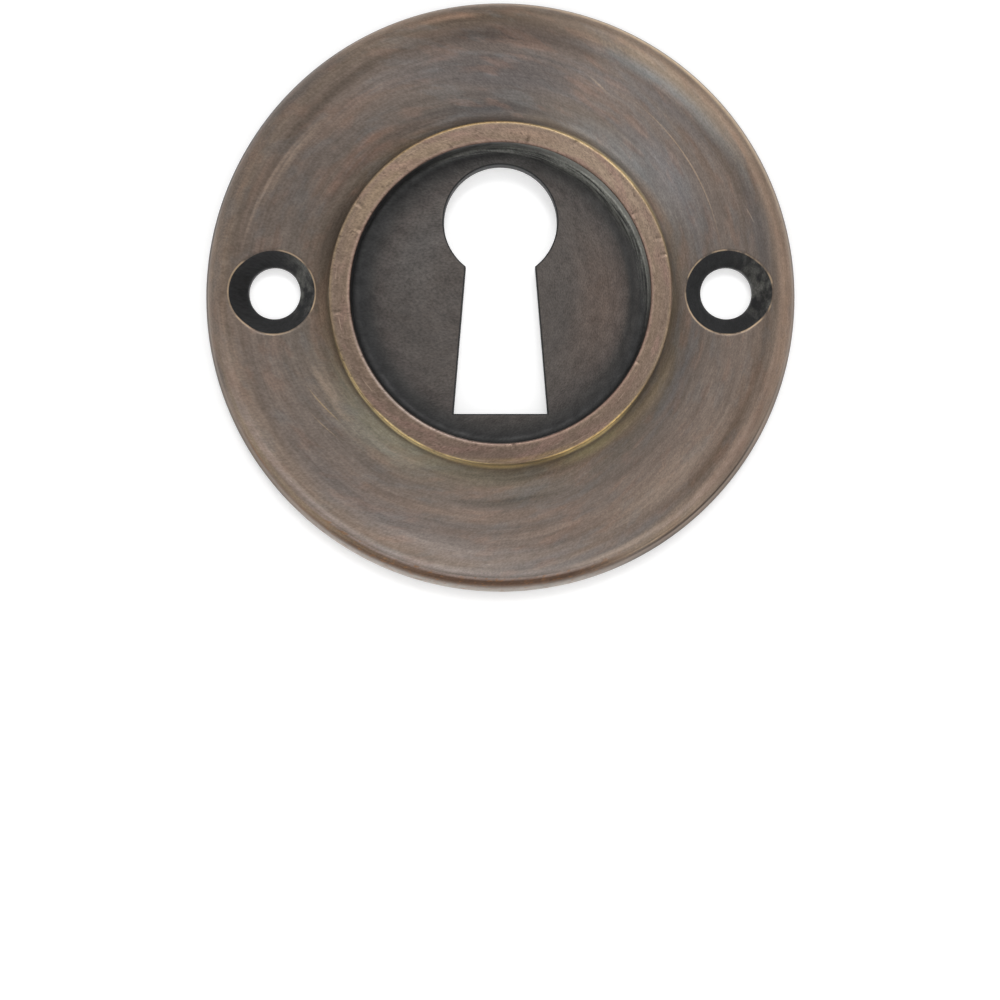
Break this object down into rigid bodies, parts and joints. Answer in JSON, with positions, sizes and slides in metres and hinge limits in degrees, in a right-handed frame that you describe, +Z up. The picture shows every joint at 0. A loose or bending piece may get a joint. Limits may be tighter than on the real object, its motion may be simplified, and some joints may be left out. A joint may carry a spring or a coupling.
{
  "type": "keyhole escutcheon",
  "caption": "Round keyhole escutcheon with a rolled rim, a raised ring round a sunken keyhole, and countersunk fixing holes either side.",
  "frame": {"origin": "centre of the flat back face, which lies against the door or drawer front", "axes": "+Z up, with the keyhole's round head above its slot; the front faces -Y, and +Y points into the surface that it is fixed to; +X is to the right seen from the front"},
  "size_m": [0.0444, 0.0047, 0.0444],
  "materials": {
    "patinated_brass": "dark brown patina over turned brass, brushed round the axis, rubbed through to warm metal on the edges"
  },
  "bodies": {
    "root": {"escutcheon": "patinated_brass"}
  },
  "joints": []
}
